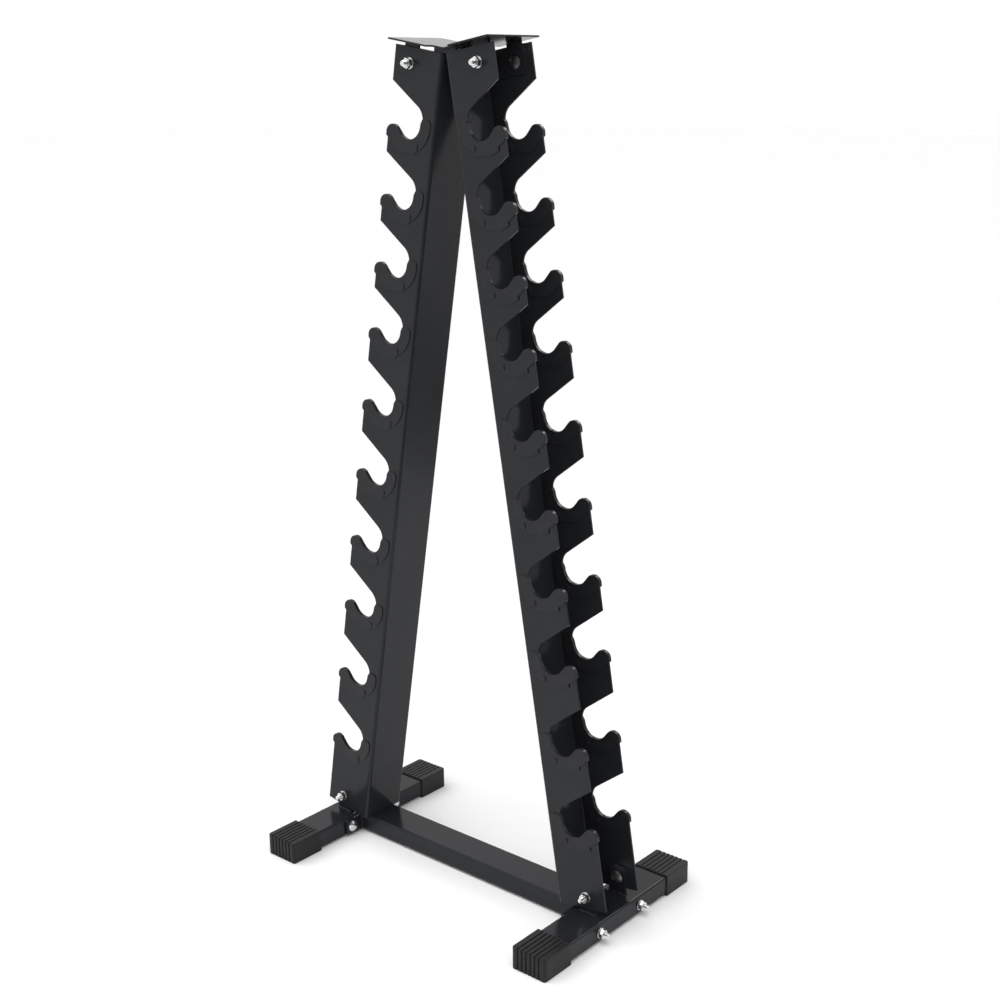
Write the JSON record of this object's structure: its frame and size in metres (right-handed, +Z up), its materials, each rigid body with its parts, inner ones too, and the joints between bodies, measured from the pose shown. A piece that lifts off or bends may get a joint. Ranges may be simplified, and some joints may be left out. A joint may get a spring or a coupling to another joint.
{
  "type": "dumbbell rack",
  "caption": "Free-standing A-frame dumbbell rack: two leaning folded-sheet channels with hooked cradles down both flanges, a V head bracket, a crossbar and feet with ribbed end caps.",
  "frame": {"origin": "on the floor, under the middle of the rack", "axes": "+Z up; X from one leaning upright to the other, -X being the left one; +Y to the back, along the feet"},
  "size_m": [0.6074, 0.3614, 1.2763],
  "materials": {
    "black_powder_coat": "satin-gloss black powder coat on sheet and tube steel",
    "black_rubber": "smooth moulded black, ribbed on the top and the closed end",
    "zinc_plate": "bright zinc plating"
  },
  "bodies": {
    "root": {"crossbar_tube": "black_powder_coat", "head_back_gusset": "black_powder_coat", "head_front_gusset": "black_powder_coat", "head_plate": "black_powder_coat", "left_crossbar_plate": "black_powder_coat", "left_foot_back_ear": "black_powder_coat", "left_foot_front_ear": "black_powder_coat", "left_foot_tube": "black_powder_coat", "left_upright": "black_powder_coat", "right_crossbar_plate": "black_powder_coat", "right_foot_back_ear": "black_powder_coat", "right_foot_front_ear": "black_powder_coat", "right_foot_tube": "black_powder_coat", "right_upright": "black_powder_coat", "left_foot_back_cap": "black_rubber", "left_foot_front_cap": "black_rubber", "right_foot_back_cap": "black_rubber", "right_foot_front_cap": "black_rubber", "left_crossbar_back_bolt": "zinc_plate", "left_crossbar_back_nut": "zinc_plate", "left_crossbar_back_washer": "zinc_plate", "left_crossbar_front_bolt": "zinc_plate", "left_crossbar_front_nut": "zinc_plate", "left_crossbar_front_washer": "zinc_plate", "left_foot_back_bolt": "zinc_plate", "left_foot_back_nut": "zinc_plate", "left_foot_back_washer": "zinc_plate", "left_foot_front_bolt": "zinc_plate", "left_foot_front_nut": "zinc_plate", "left_foot_front_washer": "zinc_plate", "left_head_back_bolt": "zinc_plate", "left_head_back_nut": "zinc_plate", "left_head_back_washer": "zinc_plate", "left_head_front_bolt": "zinc_plate", "left_head_front_nut": "zinc_plate", "left_head_front_washer": "zinc_plate", "right_crossbar_back_bolt": "zinc_plate", "right_crossbar_back_nut": "zinc_plate", "right_crossbar_back_washer": "zinc_plate", "right_crossbar_front_bolt": "zinc_plate", "right_crossbar_front_nut": "zinc_plate", "right_crossbar_front_washer": "zinc_plate", "right_foot_back_bolt": "zinc_plate", "right_foot_back_nut": "zinc_plate", "right_foot_back_washer": "zinc_plate", "right_foot_front_bolt": "zinc_plate", "right_foot_front_nut": "zinc_plate", "right_foot_front_washer": "zinc_plate", "right_head_back_bolt": "zinc_plate", "right_head_back_nut": "zinc_plate", "right_head_back_washer": "zinc_plate", "right_head_front_bolt": "zinc_plate", "right_head_front_nut": "zinc_plate", "right_head_front_washer": "zinc_plate"}
  },
  "joints": []
}
